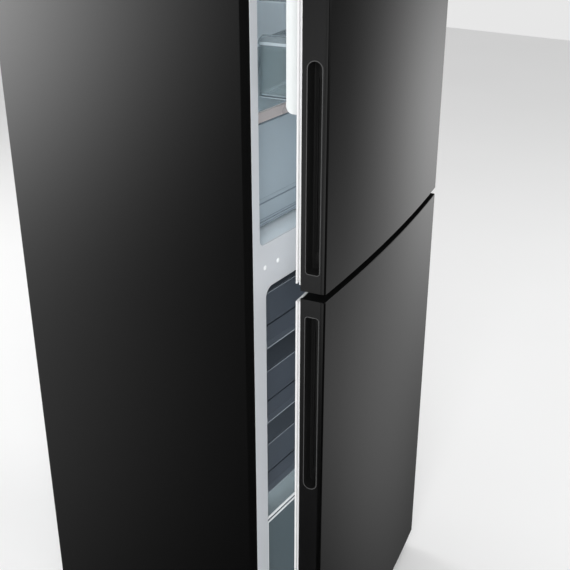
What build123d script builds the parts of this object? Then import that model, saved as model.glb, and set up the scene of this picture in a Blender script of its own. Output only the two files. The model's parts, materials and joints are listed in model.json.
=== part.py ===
"""Two-door refrigerator with a freezer below, both doors standing ajar.

Millimetres. X runs to the right as the user faces the doors, Y runs to the back and Z up from the floor.
The origin lies on the floor under the middle of the whole object.
A depth is measured back from the front face of the cabinet's flange.
"""

import os
from math import cos, radians, sin

from build123d import *

os.makedirs("parts", exist_ok=True)

# Cabinet
cabinet_width = 595
cabinet_depth = 575
cabinet_top = 1850
half_width = cabinet_width / 2
front_y = -218
back_y = front_y + cabinet_depth
wrap_bottom = 22
sheet = 1.2
flange_thick = 3
wrap_start = 0.3
flange_bottom = 58
edge_band = 18
edge_taper = 1
edge_round = 1
rear_return = 12
liner_wall = 2
inner_half = half_width - edge_taper - sheet
foam_front = 25
panel_back = cabinet_depth - 2 * sheet

# Upper compartment: its mouth narrows to a throat, which runs straight back
fridge_half = 275
fridge_floor = 1009.3
fridge_top = 1806
fridge_corner = 12
throat_half = 256
throat_top = 1796
throat_depth = 45
fridge_rear = 515

# Lower compartment, with a step over the compressor
freezer_half = 258
freezer_floor = 98
freezer_top = 925.5
freezer_corner = 20
freezer_rear = 535
step_start = 330
step_end = 370
step_height = 330
base_gap = 40

# Doors, drawn about the hinge axis as if closed and then turned by ajar_angle
ajar_angle = 8.05
hinge_x = half_width - 22
hinge_y = front_y - 34.6
door_left = -573
door_right = 22
door_back = 20
door_side_front = -24.7
door_bow = 9.8
door_corner = 3
skin_return = -16.7
trim_thick = 4
cap_height = 14
door_liner_front = door_back - liner_wall
upper_door_low = 960.6
upper_door_high = 1846
lower_door_low = 44.1
lower_door_high = 946.2
pin_radius = 5
pin_clearance = 0.05

# Pocket handles in the doors' free edges
slot_length = 348
slot_width = 24
slot_corner = 5
slot_rim = 1.5
slot_proud = 0.4
slot_y = -1.3
pocket_end = -545
upper_slot_low = 993.5
lower_slot_high = 914

# Gasket rings: each layer's distance from the door's edge, ring width, and its start and end y
gasket_inset = 3
gasket_right = 4.5
gasket_layers = ((0, 15, 20, 25), (3.5, 8, 25, 28), (1.5, 12, 28, 34))

# Ridges and bins inside the upper door
ridge_outer = 38
ridge_width = 26
ridge_reach = 64.4
ridge_low = 1246
ridge_high = 1788
ridge_round = 12
bin_left = -504
bin_right = -47
bin_back = 22
bin_front = 132
bin_slope = 14
bin_height = 102
bin_floors = (1258, 1410, 1568)
bin_rim = 17
bin_rim_start = 66
bin_rim_proud = 2
bin_wall = 2.5
bin_hook = 4
flap_axis_y = 27
flap_edge_y = 108
flap_half = 1.5
flap_barrel = 3

# Shelves and the crisper
shelf_half = 245
shelf_glass = 4
shelf_tops = (1402, 1592)
shelf_front = 110
shelf_rear = 475
shelf_trim = 5
ledge_inner = 246
ledge_height = 8
ledge_setback = 12
ledge_rear = 480
crisper_shelf_top = 1222
crisper_shelf_front = 30
crisper_trim = 6
crisper_low = 1020
crisper_high = 1203
crisper_front = 40
crisper_half = 240
crisper_rear = 455

# Freezer drawers
drawer_half = 254
tub_half = 250
tub_wall = 2.5
drawer_tops = (909, 750, 589)
drawer_rear = 460
grip_recess = 45
front_depth = 6
front_thick = 5
lip_depth = 1.5
lip_height = 3
lip_drop = 105
tub_drop = 145
rail_drop = 12
bottom_drawer_low = 104
bottom_drawer_high = 410
bottom_drawer_rear = 318
bottom_corner = 16
bezel_width = 3
freezer_glass_low = 415
freezer_trim_height = 4.5

# Feet, rollers and the frame under the cabinet
rail_inner = 262
rail_outer = 292
rail_low = 26
rail_wall = 2
rail_ends = (30, 560)
foot_x = 277
foot_depth = 50
foot_radius = 19
foot_disc = 7
foot_nut = 9
roller_depth = 535
roller_radius = 14
roller_half = 8
axle_radius = 3
ear_gap = 9
ear_thick = 2
ear_half = 10
cross_bars = (30, 425, 530)
cross_bar_width = 30

# Cold side and machine compartment
fan_z = 720
fan_radius = 48
fan_opening = 54
cover_depth = 470
knob_depth = 340
compressor_x = -120
compressor_depth = 491
plate_low = flange_bottom + 15
tray_low = plate_low + 160
inlet_x = 200
inlet_z = 110
inlet_radius = 8
inlet_bore = 4.2

# Fasteners
top_screws = ((hinge_x - 10, 40), (hinge_x - 25, 60))
top_screw_radius = 3
middle_screws = (205, 230)
middle_screw_z = 953.3
middle_screw_radius = 2
screw_clearance = 0.2
plugs = (-260, -220)
plug_z = 966
plug_radius = 3
plug_head = 0.25


# ---------------------------------------------------------------- helpers


def save(piece, name):
    """Labels a finished piece and writes it under its name."""
    piece.part.label = name
    export_step(piece.part, f"parts/{name}.step")


def mirrored(side, near, far):
    """The X span between two distances from the middle, on one side."""
    return sorted((side * near, side * far))


def block(x, depth, z, mode=Mode.ADD):
    """A box between two values on each axis."""
    middle = ((x[0] + x[1]) / 2, front_y + (depth[0] + depth[1]) / 2, (z[0] + z[1]) / 2)
    with Locations(middle):
        Box(x[1] - x[0], depth[1] - depth[0], z[1] - z[0], mode=mode)


def level(z, x=0, depth=-front_y):
    """A level plane that faces up."""
    return Plane(origin=(x, front_y + depth, z))


def facing_back(depth, x=0, z=0):
    """An upright plane whose normal points to the back."""
    return Plane(origin=(x, front_y + depth, z), x_dir=(1, 0, 0), z_dir=(0, 1, 0))


def facing_right(x, depth, z):
    return Plane(origin=(x, front_y + depth, z), z_dir=(1, 0, 0))


def front_plane(depth):
    """An upright plane that faces the user, with X to the right and Z up."""
    return Plane(origin=(0, front_y + depth, 0), x_dir=(1, 0, 0), z_dir=(0, -1, 0))


def disc(plane, radius, thickness, mode=Mode.ADD):
    """A round bar or bore that starts on a plane and runs along its normal."""
    with BuildSketch(plane) as outline:
        Circle(radius)
    extrude(outline.sketch, amount=thickness, mode=mode)


def vent_row(x, depth, z, count, pitch, slot):
    """A row of slots through an upright sheet, each slot as wide and as high as stated."""
    reach = 12
    with Locations((x, front_y + depth, z)):
        with GridLocations(pitch, 0, count, 1):
            Box(slot[0], reach, slot[1], mode=Mode.SUBTRACT)


def side_section(points, half, mode=Mode.ADD):
    """A profile of depths and heights, made as wide as stated to both sides of the middle."""
    with BuildSketch(Plane.YZ) as outline:
        with BuildLine():
            Polyline([(front_y + depth, z) for depth, z in points], close=True)
        make_face()
    extrude(outline.sketch, amount=half, both=True, mode=mode)


def upright_rectangle(depth, half, low, high, radius):
    with BuildSketch(front_plane(depth)) as outline:
        with Locations((0, (low + high) / 2)):
            RectangleRounded(2 * half, high - low, radius)
    return outline.sketch


def fridge_cavity(wall, mode):
    """The upper compartment's flared mouth and straight inside, grown by a wall thickness."""
    low = fridge_floor - wall
    corner = fridge_corner + wall
    mouth = upright_rectangle(flange_thick, fridge_half + wall, low, fridge_top + wall, corner)
    throat = upright_rectangle(throat_depth, throat_half + wall, low, throat_top + wall, corner)
    loft([mouth, throat], mode=mode)
    extrude(throat, amount=-(fridge_rear + wall - throat_depth), mode=mode)


def freezer_cavity(wall, mode):
    """The lower compartment, stepped up at the back over the compressor, grown by a wall thickness."""
    points = (
        (flange_thick, freezer_floor - wall),
        (step_start, freezer_floor - wall),
        (step_end, step_height - wall),
        (freezer_rear + wall, step_height - wall),
        (freezer_rear + wall, freezer_top + wall),
        (flange_thick, freezer_top + wall),
    )
    side_section(points, freezer_half + wall, mode)


def base_line(rise):
    """The line of the cabinet's underside, from front to back."""
    return [
        (flange_thick, flange_bottom + rise),
        (step_start + base_gap, flange_bottom + rise),
        (step_end + base_gap, step_height - base_gap + rise),
        (panel_back, step_height - base_gap + rise),
    ]


# ---------------------------------------------------------------- cabinet shell

with BuildPart() as outer_wrap:
    for side in (-1, 1):
        edge = side * half_width
        with BuildSketch(level(wrap_bottom, 0, -front_y)) as side_outline:
            with BuildLine():
                Polyline(
                    (edge - side * edge_taper, front_y + wrap_start),
                    (edge, front_y + edge_band),
                    (edge, back_y),
                    (edge - side * rear_return, back_y),
                    (edge - side * rear_return, back_y - sheet),
                    (edge - side * sheet, back_y - sheet),
                    (edge - side * sheet, front_y + edge_band),
                    (edge - side * (edge_taper + sheet), front_y + wrap_start),
                    close=True,
                )
            make_face()
        extrude(amount=cabinet_top - wrap_bottom)
    top_half = half_width - edge_taper
    block((-top_half, top_half), (wrap_start, cabinet_depth), (cabinet_top - sheet, cabinet_top))
    for screw_x, screw_depth in top_screws:
        hole = level(cabinet_top - 2 * sheet, screw_x, screw_depth)
        disc(hole, top_screw_radius + screw_clearance, 4 * sheet, Mode.SUBTRACT)
save(outer_wrap, "outer_wrap")

with BuildPart() as back_panel:
    block(
        (-half_width + sheet, half_width - sheet),
        (panel_back, cabinet_depth - sheet),
        (step_height - base_gap, cabinet_top - sheet),
    )
save(back_panel, "back_panel")

with BuildPart() as base_pan:
    side_section(base_line(0) + base_line(sheet)[::-1], inner_half)
save(base_pan, "base_pan")

with BuildPart() as front_flange:
    with BuildSketch(front_plane(0)):
        flange_top = cabinet_top - sheet
        with Locations((0, (flange_bottom + flange_top) / 2)):
            Rectangle(2 * inner_half, flange_top - flange_bottom)
        with Locations((0, (fridge_floor + fridge_top) / 2)):
            RectangleRounded(2 * fridge_half, fridge_top - fridge_floor, fridge_corner, mode=Mode.SUBTRACT)
        with Locations((0, (freezer_floor + freezer_top) / 2)):
            mouth_height = freezer_top - freezer_floor
            RectangleRounded(2 * freezer_half, mouth_height, freezer_corner, mode=Mode.SUBTRACT)
        with Locations([(plug_x, plug_z) for plug_x in plugs]):
            Circle(plug_radius, mode=Mode.SUBTRACT)
        with Locations([(screw_x, middle_screw_z) for screw_x in middle_screws]):
            Circle(middle_screw_radius + screw_clearance, mode=Mode.SUBTRACT)
    extrude(amount=-flange_thick)
    for end in (0, -1):
        front_edges = front_flange.edges().filter_by(Axis.Z).group_by(Axis.Y)[0]
        fillet(front_edges.sort_by(Axis.X)[end], edge_round)
save(front_flange, "front_flange")

rail_gap = 5
rail_half = 254
with BuildPart() as mullion_rail:
    rail_span = (freezer_top + rail_gap, fridge_floor - rail_gap)
    block((-rail_half, rail_half), (flange_thick, 23), rail_span)
    block(
        (-rail_half + rail_wall, rail_half - rail_wall),
        (flange_thick + rail_wall, 24),
        (rail_span[0] + rail_wall, rail_span[1] - rail_wall),
        Mode.SUBTRACT,
    )
save(mullion_rail, "mullion_rail")

with BuildPart() as mullion_plugs:
    for plug_x in plugs:
        disc(facing_back(-plug_head, plug_x, plug_z), 1.5 * plug_radius, plug_head)
        disc(facing_back(0, plug_x, plug_z), plug_radius, flange_thick)
save(mullion_plugs, "mullion_plugs")

with BuildPart() as fridge_liner:
    fridge_cavity(liner_wall, Mode.ADD)
    fridge_cavity(0, Mode.SUBTRACT)
    for side in (-1, 1):
        ledge = mirrored(side, ledge_inner, throat_half + 1)
        for shelf_top in shelf_tops:
            ledge_top = shelf_top - shelf_glass
            block(ledge, (shelf_front + ledge_setback, ledge_rear), (ledge_top - ledge_height, ledge_top))
        ledge_top = crisper_shelf_top - shelf_glass
        block(ledge, (crisper_shelf_front + ledge_setback, ledge_rear), (ledge_top - ledge_height, ledge_top))
        runner = mirrored(side, 200, 215)
        block(runner, (60, 440), (fridge_floor - 1, crisper_low - 0.3))
save(fridge_liner, "fridge_liner")

with BuildPart() as freezer_liner:
    freezer_cavity(liner_wall, Mode.ADD)
    freezer_cavity(0, Mode.SUBTRACT)
save(freezer_liner, "freezer_liner")

with BuildPart() as cabinet_foam:
    underside = base_line(sheet)
    underside[0] = (foam_front, underside[0][1])
    foam_top = cabinet_top - sheet
    side_section(underside + [(panel_back, foam_top), (foam_front, foam_top)], inner_half)
    fridge_cavity(liner_wall, Mode.SUBTRACT)
    freezer_cavity(liner_wall, Mode.SUBTRACT)
save(cabinet_foam, "cabinet_foam")

# ---------------------------------------------------------------- base, feet and rollers

with BuildPart() as base_frame:
    channel_top = flange_bottom - rail_wall
    for side in (-1, 1):
        block(mirrored(side, rail_inner, rail_outer), rail_ends, (rail_low, flange_bottom))
    for start in cross_bars:
        block((-rail_inner, rail_inner), (start, start + cross_bar_width), (rail_low, flange_bottom))
    for side in (-1, 1):
        hollow = mirrored(side, rail_inner + rail_wall, rail_outer - rail_wall)
        hollow_depths = (rail_ends[0] + rail_wall, rail_ends[1] - rail_wall)
        block(hollow, hollow_depths, (rail_low - 1, channel_top), Mode.SUBTRACT)
    for start in cross_bars:
        hollow = (start + rail_wall, start + cross_bar_width - rail_wall)
        block((-rail_inner, rail_inner), hollow, (rail_low - 1, channel_top), Mode.SUBTRACT)
    ear_depths = (roller_depth - ear_half, roller_depth + ear_half)
    for side in (-1, 1):
        for ear in (foot_x - ear_gap - ear_thick, foot_x + ear_gap):
            block(mirrored(side, ear, ear + ear_thick), ear_depths, (6, rail_low + 4))
        for tie in ((rail_inner, foot_x - ear_gap), (foot_x + ear_gap, rail_outer)):
            block(mirrored(side, *tie), ear_depths, (rail_low, rail_low + 4))
        stem_hole = level(channel_top - 1, side * foot_x, foot_depth)
        disc(stem_hole, pin_radius + pin_clearance, rail_wall + 2, Mode.SUBTRACT)
        disc(facing_right(side * foot_x - 20, roller_depth, roller_radius), axle_radius, 40, Mode.SUBTRACT)
save(base_frame, "base_frame")

axle_half = 13
with BuildPart() as roller_axles:
    for side in (-1, 1):
        disc(facing_right(side * foot_x - axle_half, roller_depth, roller_radius), axle_radius, 2 * axle_half)
save(roller_axles, "roller_axles")

for side, name in ((-1, "rear_roller_left"), (1, "rear_roller_right")):
    with BuildPart() as roller:
        end = facing_right(side * foot_x - roller_half, roller_depth, roller_radius)
        disc(end, roller_radius, 2 * roller_half)
        disc(end, axle_radius + pin_clearance, 2 * roller_half, Mode.SUBTRACT)
        chamfer(roller.edges().filter_by(GeomType.CIRCLE).group_by(SortBy.RADIUS)[-1], 1.5)
    save(roller, name)

for side, name in ((-1, "levelling_foot_left"), (1, "levelling_foot_right")):
    with BuildPart() as foot:
        disc(level(0, side * foot_x, foot_depth), foot_radius, foot_disc)
        fillet(foot.edges().group_by(Axis.Z)[-1], 2)
        with BuildSketch(level(foot_disc, side * foot_x, foot_depth)):
            RegularPolygon(9, 6)
        extrude(amount=foot_nut)
        stem_low = foot_disc + foot_nut
        disc(level(stem_low, side * foot_x, foot_depth), pin_radius, flange_bottom - 1 - stem_low)
    save(foot, name)

with BuildPart() as kick_plate:
    block((-290, 240), (4, 7), (8, 57))
    for vent_z in (20, 32):
        vent_row(-25, 5.5, vent_z, 12, 38, (26, 5))
save(kick_plate, "kick_plate")

# ---------------------------------------------------------------- hinges

arm_nose = 13
arm_thick = 3
pin_reach = 17


def hinge_arm(low, thick, rear, left, right):
    """A flat arm from the cabinet, between two X values at its rear, to a round nose about the hinge axis."""
    with BuildSketch(level(low)) as arm:
        with Locations((hinge_x, hinge_y)):
            Circle(arm_nose)
        with BuildLine():
            Polyline(
                (hinge_x - arm_nose, hinge_y),
                (hinge_x + arm_nose, hinge_y),
                (right, front_y + rear),
                (left, front_y + rear),
                close=True,
            )
        make_face()
    extrude(arm.sketch, amount=thick)


def hinge_pin(low, high):
    disc(level(low, hinge_x, hinge_y - front_y), pin_radius, high - low)


with BuildPart() as top_hinge:
    hinge_arm(cabinet_top, arm_thick, 75, 240, 288)
    hinge_pin(cabinet_top - pin_reach, cabinet_top)
    for screw_x, screw_depth in top_screws:
        hole = level(cabinet_top - 1, screw_x, screw_depth)
        disc(hole, top_screw_radius + screw_clearance, arm_thick + 2, Mode.SUBTRACT)
save(top_hinge, "top_hinge")

middle_low = 951.4
middle_thick = 4
tab_span = (944.6, 962)
with BuildPart() as middle_hinge:
    hinge_arm(middle_low, middle_thick, -arm_thick, 252, 290)
    block((190, 290), (-arm_thick, 0), tab_span)
    hinge_pin(middle_low + middle_thick, 974)
    hinge_pin(933, middle_low)
    for screw_x in middle_screws:
        hole = facing_back(-arm_thick - 1, screw_x, middle_screw_z)
        disc(hole, middle_screw_radius + screw_clearance, arm_thick + 2, Mode.SUBTRACT)
save(middle_hinge, "middle_hinge")

bottom_low = 34
with BuildPart() as bottom_hinge:
    hinge_arm(bottom_low, middle_thick, 26, 250, 290)
    block((245, 290), (26, rail_ends[0]), (30, 56))
    hinge_pin(bottom_low + middle_thick, 60)
save(bottom_hinge, "bottom_hinge")

with BuildPart() as hinge_screws:
    for screw_x, screw_depth in top_screws:
        with BuildSketch(level(cabinet_top + arm_thick, screw_x, screw_depth)):
            RegularPolygon(5.5, 6)
        extrude(amount=4)
        disc(level(cabinet_top - sheet, screw_x, screw_depth), top_screw_radius, sheet + arm_thick)
    for screw_x in middle_screws:
        head = 2.5
        disc(facing_back(-arm_thick - head, screw_x, middle_screw_z), 4.2, head)
        shank = facing_back(-arm_thick, screw_x, middle_screw_z)
        disc(shank, middle_screw_radius, arm_thick + flange_thick)
save(hinge_screws, "hinge_screws")

with BuildPart() as hinge_cover:
    block((224, 294), (-50, 88), (cabinet_top, cabinet_top + 20))
    fillet(hinge_cover.edges().filter_by(Axis.Z), 10)
    fillet(hinge_cover.faces().sort_by(Axis.Z)[-1].edges(), 5)
    block((227, 291.5), (-49, 86), (cabinet_top - 1, cabinet_top + 14), Mode.SUBTRACT)
save(hinge_cover, "hinge_cover")

# ---------------------------------------------------------------- doors

turn = radians(ajar_angle)
door_x = Vector(cos(turn), sin(turn), 0)
door_y = Vector(-sin(turn), cos(turn), 0)
hinge_axis = Vector(hinge_x, hinge_y, 0)


def door_level(z):
    """A level plane in the door's own directions, with its origin on the hinge axis."""
    return Plane(origin=(hinge_x, hinge_y, z), x_dir=door_x, z_dir=(0, 0, 1))


def door_upright(y):
    """An upright plane across the door at its own y, facing the user."""
    return Plane(origin=hinge_axis + door_y * y, x_dir=door_x, z_dir=-door_y)


def door_edge(x):
    """An upright plane across the door at its own x, facing its free edge: x is up, y is the door's own."""
    return Plane(origin=hinge_axis + door_x * x, x_dir=(0, 0, 1), z_dir=-door_x)


def door_outline(z, side_inset, front_inset, back, corner):
    """The door's bowed outline on a level plane, pulled in by insets."""
    left = door_left + side_inset
    right = door_right - side_inset
    side_front = door_side_front + front_inset
    middle = (left + right) / 2
    with BuildSketch(door_level(z)) as outline:
        with BuildLine():
            Polyline((left, side_front), (left, back), (right, back), (right, side_front))
            ThreePointArc((right, side_front), (middle, side_front - door_bow), (left, side_front))
        make_face()
        fillet(outline.vertices().sort_by(Axis.Y)[:2], corner)
    return outline.sketch


def door_block(x, y, z, mode=Mode.ADD):
    """A box in the door's own directions."""
    with BuildSketch(door_level(z[0])) as base:
        with Locations(((x[0] + x[1]) / 2, (y[0] + y[1]) / 2)):
            Rectangle(x[1] - x[0], y[1] - y[0])
    extrude(base.sketch, amount=z[1] - z[0], mode=mode)


def door_bore(low, high, radius):
    """A bore along the hinge axis."""
    disc(door_level(low), radius, high - low, Mode.SUBTRACT)


def handle_slot(start, end, slot, grow, mode=Mode.ADD):
    """A slot, round at its outer end and nearly square toward the gap, from one x value to another."""
    middle, toward_gap = slot
    with BuildSketch(door_edge(start)) as outline:
        with Locations((middle, slot_y)):
            SlotOverall(slot_length + 2 * grow, slot_width + 2 * grow)
        with Locations((middle + toward_gap * slot_length / 4, slot_y)):
            RectangleRounded(slot_length / 2 + 2 * grow, slot_width + 2 * grow, slot_corner + grow)
    extrude(outline.sketch, amount=start - end, mode=mode)


def gasket_ring(low, high, inset, width, near, far):
    """One layer of a gasket: a rectangular ring that stands off the door's back."""
    left = door_left + gasket_inset + inset
    right = gasket_right - inset
    bottom = low + gasket_inset + inset
    top = high - gasket_inset - inset
    with BuildSketch(door_upright(near)) as ring:
        with Locations(((left + right) / 2, (bottom + top) / 2)):
            Rectangle(right - left, top - bottom)
            Rectangle(right - left - 2 * width, top - bottom - 2 * width, mode=Mode.SUBTRACT)
    extrude(ring.sketch, amount=near - far)


doors = (
    ("upper", upper_door_low, upper_door_high, (upper_slot_low + slot_length / 2, -1)),
    ("lower", lower_door_low, lower_door_high, (lower_slot_high - slot_length / 2, 1)),
)

for door, low, high, slot in doors:
    with BuildPart() as skin:
        extrude(door_outline(low, 0, 0, skin_return, door_corner), amount=high - low)
        inner = door_outline(low - 1, sheet, sheet, skin_return + 10, door_corner - 1)
        extrude(inner, amount=high - low + 2, mode=Mode.SUBTRACT)
    save(skin, f"{door}_door_skin")

    with BuildPart() as surround:
        door_block((door_left, door_left + trim_thick), (skin_return, door_back), (low, high))
        handle_slot(door_left - 1, door_left + trim_thick + 1, slot, slot_rim, Mode.SUBTRACT)
        door_block((door_right - trim_thick, door_right), (skin_return, door_back), (low, high))
        for cap_low in (low, high - cap_height):
            cap = door_outline(cap_low, trim_thick, sheet, door_liner_front, door_corner - 1)
            extrude(cap, amount=cap_height)
        door_bore(low - 1, high + 1, pin_radius + pin_clearance)
    save(surround, f"{door}_door_surround")

    with BuildPart() as handle:
        rim = door_left - slot_proud
        handle_slot(rim, pocket_end, slot, slot_rim)
        handle_slot(rim, pocket_end - slot_rim, slot, 0, Mode.SUBTRACT)
    save(handle, f"{door}_door_handle")

    with BuildPart() as foam:
        fill = door_outline(low + cap_height, trim_thick, sheet, door_liner_front, door_corner - 1)
        extrude(fill, amount=high - low - 2 * cap_height)
        handle_slot(door_left - 1, pocket_end, slot, slot_rim, Mode.SUBTRACT)
        door_bore(low, high, pin_radius + 2)
    save(foam, f"{door}_door_foam")

    with BuildPart() as gasket:
        for inset, width, near, far in gasket_layers:
            gasket_ring(low, high, inset, width, near, far)
    save(gasket, f"{door}_door_gasket")

liner_x = (door_left + trim_thick, door_right - trim_thick)
ridge_left = door_left + ridge_outer
ridge_right = door_right - ridge_outer
ridge_starts = (ridge_left, ridge_right - ridge_width)
with BuildPart() as upper_door_liner:
    door_block(liner_x, (door_liner_front, door_back), (upper_door_low, upper_door_high))
    for start in ridge_starts:
        with BuildSketch(door_edge(start)) as ridge:
            with BuildLine():
                round_start = (ridge_low, ridge_reach - ridge_round)
                round_end = (ridge_low + ridge_round, ridge_reach)
                Polyline(
                    round_end,
                    (ridge_high, ridge_reach),
                    (ridge_high, door_back),
                    (ridge_low, door_back),
                    round_start,
                )
                RadiusArc(round_start, round_end, ridge_round)
            make_face()
        extrude(ridge.sketch, amount=-ridge_width)
    door_block((ridge_left, ridge_right), (door_back, ridge_reach), (ridge_high - ridge_width, ridge_high))
    for start in ridge_starts:
        door_block(
            (start + liner_wall, start + ridge_width - liner_wall),
            (door_liner_front - 1, ridge_reach - liner_wall),
            (ridge_low + ridge_round, ridge_high - liner_wall),
            Mode.SUBTRACT,
        )
    for floor in bin_floors:
        hook_z = (floor - 6, floor)
        door_block((ridge_left + ridge_width, bin_left + bin_hook), (30, 60), hook_z)
        door_block((bin_right - bin_hook, ridge_right - ridge_width), (30, 60), hook_z)
save(upper_door_liner, "upper_door_liner")

panel_inset = 80
with BuildPart() as lower_door_liner:
    door_block(liner_x, (door_liner_front, door_back), (lower_door_low, lower_door_high))
    panel_x = (door_left + panel_inset, door_right - panel_inset)
    panel_z = (lower_door_low + panel_inset, lower_door_high - panel_inset)
    door_block(panel_x, (door_back, door_back + 6), panel_z)
save(lower_door_liner, "lower_door_liner")


def bin_profile(across, back, front, low, high):
    """A block along a door bin, with the slope between its sides' tops and its lower front wall."""
    with BuildSketch(door_edge(across[0])) as profile:
        with BuildLine():
            Polyline(
                (low, back),
                (low, front),
                (high - bin_slope, front),
                (high, front - bin_slope),
                (high, back),
                close=True,
            )
        make_face()
    extrude(profile.sketch, amount=across[0] - across[1])


with BuildPart() as door_bins:
    for floor in bin_floors:
        top = floor + bin_height
        bin_profile((bin_left, bin_right), bin_back, bin_front, floor, top)
        rim_x = (bin_left - bin_rim_proud, bin_right + bin_rim_proud)
        bin_profile(rim_x, bin_rim_start, bin_front + bin_rim_proud, top - bin_rim, top)
        door_block(
            (bin_left + bin_wall, bin_right - bin_wall),
            (bin_back + bin_wall, bin_front - bin_wall),
            (floor + bin_wall, top + 1),
            Mode.SUBTRACT,
        )
save(door_bins, "door_bins")

flap_x = (bin_left + bin_hook, bin_right - bin_hook)
flap_z = bin_floors[-1] + bin_height + 5
with BuildPart() as dairy_flap:
    door_block(flap_x, (flap_axis_y, flap_edge_y), (flap_z - flap_half, flap_z + flap_half))
    with BuildSketch(door_edge(flap_x[0])) as barrel:
        with Locations((flap_z, flap_axis_y)):
            Circle(flap_barrel)
    extrude(barrel.sketch, amount=flap_x[0] - flap_x[1])
    door_block(flap_x, (flap_edge_y - 2, flap_edge_y), (flap_z - flap_barrel, flap_z))
save(dairy_flap, "dairy_flap")

# ---------------------------------------------------------------- shelves and crisper

with BuildPart() as fridge_glass_shelves:
    shelf_depths = (shelf_front + shelf_trim, shelf_rear)
    for shelf_top in shelf_tops:
        block((-shelf_half, shelf_half), shelf_depths, (shelf_top - shelf_glass, shelf_top))
    crisper_glass = (crisper_shelf_front + crisper_trim, shelf_rear + shelf_trim)
    block((-shelf_half, shelf_half), crisper_glass, (crisper_shelf_top - shelf_glass, crisper_shelf_top))
save(fridge_glass_shelves, "fridge_glass_shelves")

with BuildPart() as fridge_shelf_trims:
    for shelf_top in shelf_tops:
        trim_depths = (shelf_front, shelf_front + shelf_trim)
        block((-shelf_half - 3, shelf_half + 3), trim_depths, (shelf_top - 8, shelf_top + 6))
    trim_depths = (crisper_shelf_front, crisper_shelf_front + crisper_trim)
    block((-shelf_half - 7, shelf_half + 7), trim_depths, (crisper_shelf_top - 12, crisper_shelf_top + 6))
save(fridge_shelf_trims, "fridge_shelf_trims")

groove_z = (1060, 1069)
lip_z = (1023, 1026, 1028, 1031)
crisper_wall = 2.5
with BuildPart() as crisper_drawer:
    crisper_face = (
        (crisper_front, crisper_high),
        (crisper_front, groove_z[1]),
        (crisper_front + 2, groove_z[1]),
        (crisper_front + 2, groove_z[0]),
        (crisper_front, groove_z[0]),
        (crisper_front, lip_z[3]),
        (crisper_front - 2, lip_z[2]),
        (crisper_front, lip_z[1]),
        (crisper_front - 3, lip_z[0]),
        (crisper_front - 3, crisper_low),
        (crisper_front + front_thick, crisper_low),
        (crisper_front + front_thick, crisper_high),
    )
    side_section(crisper_face, crisper_half)
    tub = crisper_half - front_thick
    tub_depths = (crisper_front + front_thick, crisper_rear)
    block((-tub, tub), tub_depths, (crisper_low + 2, crisper_high - 7))
    tub -= crisper_wall
    tub_depths = (crisper_front + front_thick, crisper_rear - crisper_wall)
    block((-tub, tub), tub_depths, (crisper_low + 2 + crisper_wall, crisper_high + 1), Mode.SUBTRACT)
save(crisper_drawer, "crisper_drawer")

# ---------------------------------------------------------------- freezer drawers

face_back = front_depth + front_thick
for number, top in enumerate(drawer_tops, start=1):
    with BuildPart() as drawer:
        lip_low = top - lip_drop - lip_height
        tub_low = top - tub_drop
        groove = (top - 62, top - 65)
        face = (
            (front_depth, top),
            (front_depth, groove[0]),
            (front_depth + 3, groove[0]),
            (front_depth + 3, groove[1]),
            (front_depth, groove[1]),
            (front_depth, top - 81),
            (lip_depth, top - lip_drop),
            (lip_depth, lip_low),
            (face_back, lip_low),
            (face_back, top),
        )
        side_section(face, drawer_half)
        tub = (
            (face_back, lip_low),
            (grip_recess, lip_low),
            (grip_recess, tub_low),
            (drawer_rear, tub_low),
            (drawer_rear, top - 6),
            (face_back, top - 6),
        )
        side_section(tub, tub_half)
        for side in (-1, 1):
            hanger = mirrored(side, tub_half - 1, tub_half + 3.5)
            block(hanger, (20, drawer_rear - 5), (top - rail_drop, top - rail_drop + 3))
        inside = (
            (face_back, lip_low + 5),
            (grip_recess + tub_wall, lip_low + 5),
            (grip_recess + tub_wall, tub_low + tub_wall),
            (drawer_rear - tub_wall, tub_low + tub_wall),
            (drawer_rear - tub_wall, top + 1),
            (face_back, top + 1),
        )
        side_section(inside, tub_half - tub_wall, Mode.SUBTRACT)
    save(drawer, f"freezer_drawer_{number}")

with BuildPart() as drawer_rails:
    for top in drawer_tops:
        for side in (-1, 1):
            rail_top = top - rail_drop - 0.3
            rail_x = mirrored(side, tub_half + 1, freezer_half)
            block(rail_x, (30, drawer_rear - 5), (rail_top - 7.7, rail_top))
save(drawer_rails, "drawer_rails")


def bottom_front(depth, inset, lower_corner):
    """The bottom drawer's front outline, whose lower corners clear the round corners of the opening."""
    with BuildSketch(front_plane(depth)) as outline:
        with Locations((0, (bottom_drawer_low + bottom_drawer_high) / 2)):
            Rectangle(2 * (drawer_half - inset), bottom_drawer_high - bottom_drawer_low - 2 * inset)
        fillet(outline.vertices().group_by(Axis.Y)[0], lower_corner)
    return outline.sketch


with BuildPart() as bottom_drawer:
    extrude(bottom_front(front_depth, 0, bottom_corner), amount=-front_thick)
    tub_high = bottom_drawer_high - 10
    block((-tub_half, tub_half), (face_back, bottom_drawer_rear), (bottom_drawer_low, tub_high))
    inner_tub = tub_half - tub_wall
    hollow_depths = (face_back, bottom_drawer_rear - tub_wall)
    hollow_z = (bottom_drawer_low + tub_wall, bottom_drawer_high)
    block((-inner_tub, inner_tub), hollow_depths, hollow_z, Mode.SUBTRACT)
    for side in (-1, 1):
        block(mirrored(side, 180, 200), (30, 300), (freezer_floor + 0.3, bottom_drawer_low))
save(bottom_drawer, "bottom_drawer")

bezel_thick = 3
with BuildPart() as bottom_drawer_bezel:
    bezel_depth = front_depth - bezel_thick
    extrude(bottom_front(bezel_depth, 0, bottom_corner), amount=-bezel_thick)
    hole = bottom_front(bezel_depth, bezel_width, bottom_corner - bezel_width)
    extrude(hole, amount=-bezel_thick, mode=Mode.SUBTRACT)
save(bottom_drawer_bezel, "bottom_drawer_bezel")

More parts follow.
